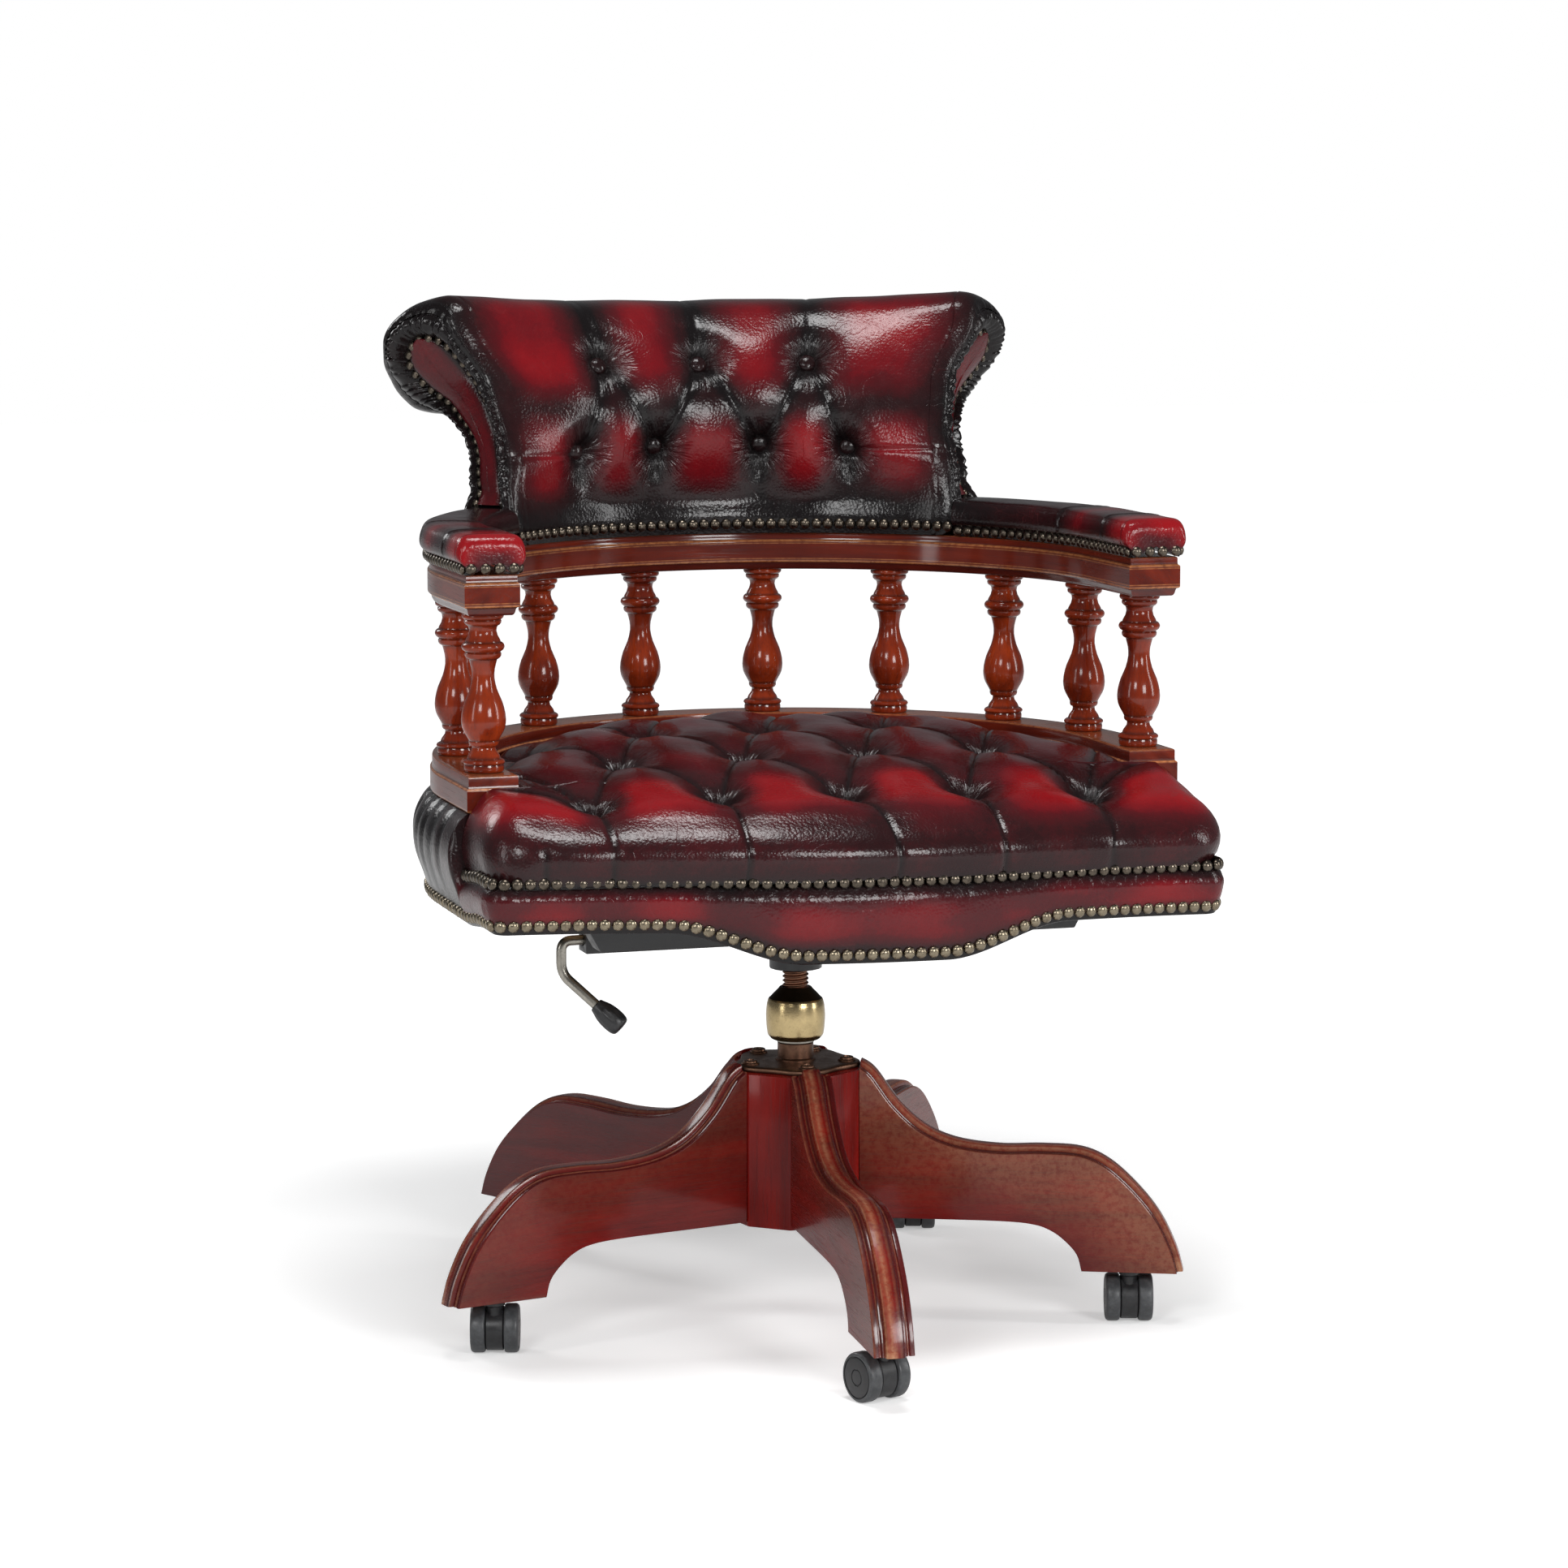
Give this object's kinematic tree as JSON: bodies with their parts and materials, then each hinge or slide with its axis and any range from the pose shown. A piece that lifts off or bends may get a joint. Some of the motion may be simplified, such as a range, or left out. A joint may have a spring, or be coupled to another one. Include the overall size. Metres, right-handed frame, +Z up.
{
  "type": "swivel captain's chair",
  "caption": "Tilting swivel armchair with a buttoned leather seat, a padded horseshoe rail on turned spindles, a screw column and a wooden star base on casters.",
  "frame": {"origin": "on the floor, under the middle of the bounding box; the column axis stands at x 0, y -0.0305 m", "axes": "+Z up; the sitter faces -Y; +X is to the right in a view from the front"},
  "size_m": [0.6367, 0.7288, 0.8465],
  "materials": {
    "mahogany": "satin lacquered red-brown mahogany, darker in the mouldings",
    "turned_wood": "glossy orange-brown lacquer",
    "bronze": "dark bronze plating, satin",
    "aged_brass": "antique brass, satin",
    "bright_steel": "bright drawn steel",
    "black_steel": "black stove enamel",
    "plywood": "bare board, hidden",
    "oxblood_leather": "antique rub-off leather, bright red on the crowns, near black in the folds",
    "black_cloth": "thin black lining cloth",
    "black_plastic": "black moulded nylon",
    "wheel_tread": "dark grey nylon, worn"
  },
  "bodies": {
    "base": {"hub_block": "mahogany", "hub_plate": "bronze", "column_sleeve": "bronze", "leg_1": "mahogany", "leg_2": "mahogany", "leg_3": "mahogany", "leg_4": "mahogany", "leg_5": "mahogany", "hub_bolt_1": "bronze", "hub_bolt_2": "bronze", "hub_bolt_3": "bronze", "hub_bolt_4": "bronze", "hub_bolt_5": "bronze"},
    "caster_1": {"caster_1_housing": "black_plastic"},
    "caster_1_left": {"caster_1_wheel_left": "wheel_tread"},
    "caster_1_right": {"caster_1_wheel_right": "wheel_tread"},
    "caster_2": {"caster_2_housing": "black_plastic"},
    "caster_2_left": {"caster_2_wheel_left": "wheel_tread"},
    "caster_2_right": {"caster_2_wheel_right": "wheel_tread"},
    "caster_3": {"caster_3_housing": "black_plastic"},
    "caster_3_left": {"caster_3_wheel_left": "wheel_tread"},
    "caster_3_right": {"caster_3_wheel_right": "wheel_tread"},
    "caster_4": {"caster_4_housing": "black_plastic"},
    "caster_4_left": {"caster_4_wheel_left": "wheel_tread"},
    "caster_4_right": {"caster_4_wheel_right": "wheel_tread"},
    "caster_5": {"caster_5_housing": "black_plastic"},
    "caster_5_left": {"caster_5_wheel_left": "wheel_tread"},
    "caster_5_right": {"caster_5_wheel_right": "wheel_tread"},
    "column": {"column_bush": "bright_steel"},
    "nut": {"collar_nut": "aged_brass"},
    "lift": {"spindle_screw": "bronze", "mechanism_bracket": "black_steel", "tilt_pin": "bright_steel", "tilt_spring": "bright_steel"},
    "lever": {"lever_rod": "bright_steel", "lever_grip": "black_plastic"},
    "seat": {"seat_plate": "black_steel", "seat_board": "plywood", "seat_rim": "plywood", "seat_border": "oxblood_leather", "seat_cushion": "oxblood_leather", "dust_cover": "black_cloth", "lower_rail": "mahogany", "upper_rail": "mahogany", "spindle_1": "turned_wood", "spindle_2": "turned_wood", "spindle_3": "turned_wood", "spindle_4": "turned_wood", "spindle_5": "turned_wood", "spindle_6": "turned_wood", "spindle_7": "turned_wood", "spindle_8": "turned_wood", "spindle_9": "turned_wood", "spindle_10": "turned_wood", "arm_pad_left": "oxblood_leather", "arm_pad_right": "oxblood_leather", "back_frame": "plywood", "back_pad": "oxblood_leather", "back_facing_left": "oxblood_leather", "back_facing_right": "oxblood_leather"}
  },
  "joints": [
    {"name": "caster_1_turn", "type": "hinge", "parent": "base", "child": "caster_1", "pos_m": [-0.02112, -0.31812, 0.0455], "axis": [0, 0, 1], "continuous": true},
    {"name": "caster_1_left_roll", "type": "hinge", "parent": "caster_1", "child": "caster_1_left", "pos_m": [-0.02293, -0.3124, 0.02], "axis": [0.9537, 0.3007, 0], "continuous": true},
    {"name": "caster_1_right_roll", "type": "hinge", "parent": "caster_1", "child": "caster_1_right", "pos_m": [-0.02293, -0.3124, 0.02], "axis": [0.9537, 0.3007, 0], "continuous": true},
    {"name": "caster_2_turn", "type": "hinge", "parent": "base", "child": "caster_2", "pos_m": [0.25539, -0.14528, 0.0455], "axis": [0, 0, 1], "continuous": true},
    {"name": "caster_2_left_roll", "type": "hinge", "parent": "caster_2", "child": "caster_2_left", "pos_m": [0.2572, -0.13956, 0.02], "axis": [0.9537, -0.3007, 0], "continuous": true},
    {"name": "caster_2_right_roll", "type": "hinge", "parent": "caster_2", "child": "caster_2_right", "pos_m": [0.2572, -0.13956, 0.02], "axis": [0.9537, -0.3007, 0], "continuous": true},
    {"name": "caster_3_turn", "type": "hinge", "parent": "base", "child": "caster_3", "pos_m": [0.19378, 0.22666, 0.0455], "axis": [0, 0, 1], "continuous": true},
    {"name": "caster_3_left_roll", "type": "hinge", "parent": "caster_3", "child": "caster_3_left", "pos_m": [0.19559, 0.23238, 0.02], "axis": [0.9537, -0.3007, 0], "continuous": true},
    {"name": "caster_3_right_roll", "type": "hinge", "parent": "caster_3", "child": "caster_3_right", "pos_m": [0.19559, 0.23238, 0.02], "axis": [0.9537, -0.3007, 0], "continuous": true},
    {"name": "caster_4_turn", "type": "hinge", "parent": "base", "child": "caster_4", "pos_m": [-0.15682, 0.25713, 0.0455], "axis": [0, 0, 1], "continuous": true},
    {"name": "caster_4_left_roll", "type": "hinge", "parent": "caster_4", "child": "caster_4_left", "pos_m": [-0.15338, 0.26204, 0.02], "axis": [0.8192, -0.5736, 0], "continuous": true},
    {"name": "caster_4_right_roll", "type": "hinge", "parent": "caster_4", "child": "caster_4_right", "pos_m": [-0.15338, 0.26204, 0.02], "axis": [0.8192, -0.5736, 0], "continuous": true},
    {"name": "caster_5_turn", "type": "hinge", "parent": "base", "child": "caster_5", "pos_m": [-0.27408, -0.08776, 0.0455], "axis": [0, 0, 1], "continuous": true},
    {"name": "caster_5_left_roll", "type": "hinge", "parent": "caster_5", "child": "caster_5_left", "pos_m": [-0.27228, -0.08204, 0.02], "axis": [0.9537, -0.3007, 0], "continuous": true},
    {"name": "caster_5_right_roll", "type": "hinge", "parent": "caster_5", "child": "caster_5_right", "pos_m": [-0.27228, -0.08204, 0.02], "axis": [0.9537, -0.3007, 0], "continuous": true},
    {"name": "swivel", "type": "hinge", "parent": "base", "child": "column", "pos_m": [0, -0.0305, 0.2318], "axis": [0, 0, 1], "continuous": true},
    {"name": "height", "type": "slide", "parent": "column", "child": "lift", "axis": [0, 0, 1], "range_m": [-0.012, 0.085]},
    {"name": "collar_turn", "type": "hinge", "parent": "column", "child": "nut", "pos_m": [0, -0.0305, 0.256], "axis": [0, 0, 1], "range_deg": [-1210, 8510]},
    {"name": "tilt", "type": "hinge", "parent": "lift", "child": "seat", "pos_m": [0, -0.0905, 0.345], "axis": [-1, 0, 0], "range_deg": [0, 12], "stiffness_Nm_per_rad": 120, "springref_deg": -28.65, "deforming": ["tilt_spring"]},
    {"name": "lever_turn", "type": "hinge", "parent": "lift", "child": "lever", "pos_m": [-0.19, -0.0555, 0.331], "axis": [1, 0, 0], "range_deg": [-20, 20]}
  ],
  "couplings": [
    {"joint": "collar_turn", "follows": "height", "rad_per_m": 1745.3}
  ]
}
